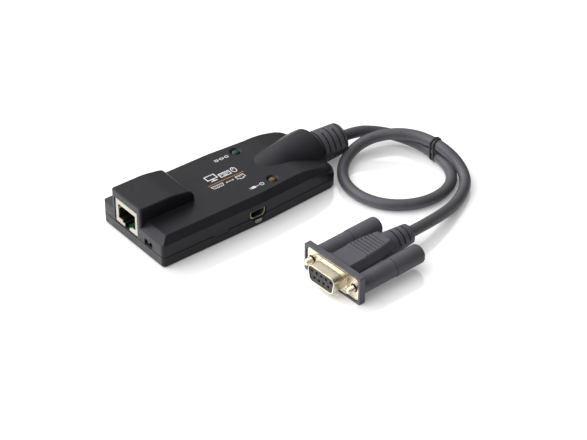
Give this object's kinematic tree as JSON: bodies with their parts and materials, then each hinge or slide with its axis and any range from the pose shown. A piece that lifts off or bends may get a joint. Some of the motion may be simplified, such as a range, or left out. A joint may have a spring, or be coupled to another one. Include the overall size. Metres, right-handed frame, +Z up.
{
  "type": "kvm adapter module",
  "caption": "Flat moulded housing with a raised hood over an RJ45 socket, a mini-USB port and indicator lamps, and a short looped lead that ends in a D connector with thumbscrews.",
  "frame": {"origin": "on the surface it stands on, under the middle of the housing", "axes": "+X from the jack end towards the lead, +Y away from the mini-USB side, +Z up"},
  "size_m": [0.1409, 0.1102, 0.0204],
  "materials": {
    "case_plastic": "fine-textured charcoal moulding",
    "overmould": "matte dark grey overmould",
    "lead_jacket": "satin dark grey jacket",
    "black_plastic": "matte black",
    "jack_plastic": "ivory moulding",
    "board_laminate": "green solder mask",
    "contact_metal": "gold-flashed",
    "plated_steel": "warm nickel plate",
    "capacitor_can": "bare can",
    "green_lens": "tinted lens, unlit",
    "amber_lens": "tinted lens, unlit"
  },
  "bodies": {
    "adapter": {"upper_shell": "case_plastic", "lower_shell": "case_plastic", "circuit_board": "board_laminate", "rj45_jack": "jack_plastic", "rj45_contacts": "contact_metal", "mini_usb_shell": "plated_steel", "mini_usb_tongue": "black_plastic", "mini_usb_contacts": "contact_metal", "online_lamp": "green_lens", "power_lamp": "amber_lens", "switch_body": "plated_steel", "controller_chip": "black_plastic", "serial_driver_chip": "black_plastic", "crystal_can": "plated_steel", "capacitors": "capacitor_can", "lead_header": "jack_plastic", "lead_header_plug": "jack_plastic", "lead_cores": "lead_jacket", "lead_strain_relief": "overmould", "signal_lead": "lead_jacket", "lead_tie": "black_plastic", "db9_hood": "overmould", "db9_shell": "plated_steel", "db9_insert": "black_plastic", "db9_contacts": "contact_metal"},
    "left_thumbscrew": {"left_thumbscrew_knob": "overmould", "left_jackscrew": "plated_steel"},
    "right_thumbscrew": {"right_thumbscrew_knob": "overmould", "right_jackscrew": "plated_steel"},
    "slider": {"switch_slider": "black_plastic"}
  },
  "joints": [
    {"name": "left_thumbscrew_turn", "type": "hinge", "parent": "adapter", "child": "left_thumbscrew", "pos_m": [-0.00129, -0.05982, 0.0064], "axis": [0.9989, 0.0471, 0], "continuous": true},
    {"name": "right_thumbscrew_turn", "type": "hinge", "parent": "adapter", "child": "right_thumbscrew", "pos_m": [-0.00011, -0.08478, 0.0064], "axis": [0.9989, 0.0471, 0], "continuous": true},
    {"name": "switch_slide", "type": "slide", "parent": "adapter", "child": "slider", "axis": [0, -1, 0], "range_m": [0, 0.0015]}
  ]
}
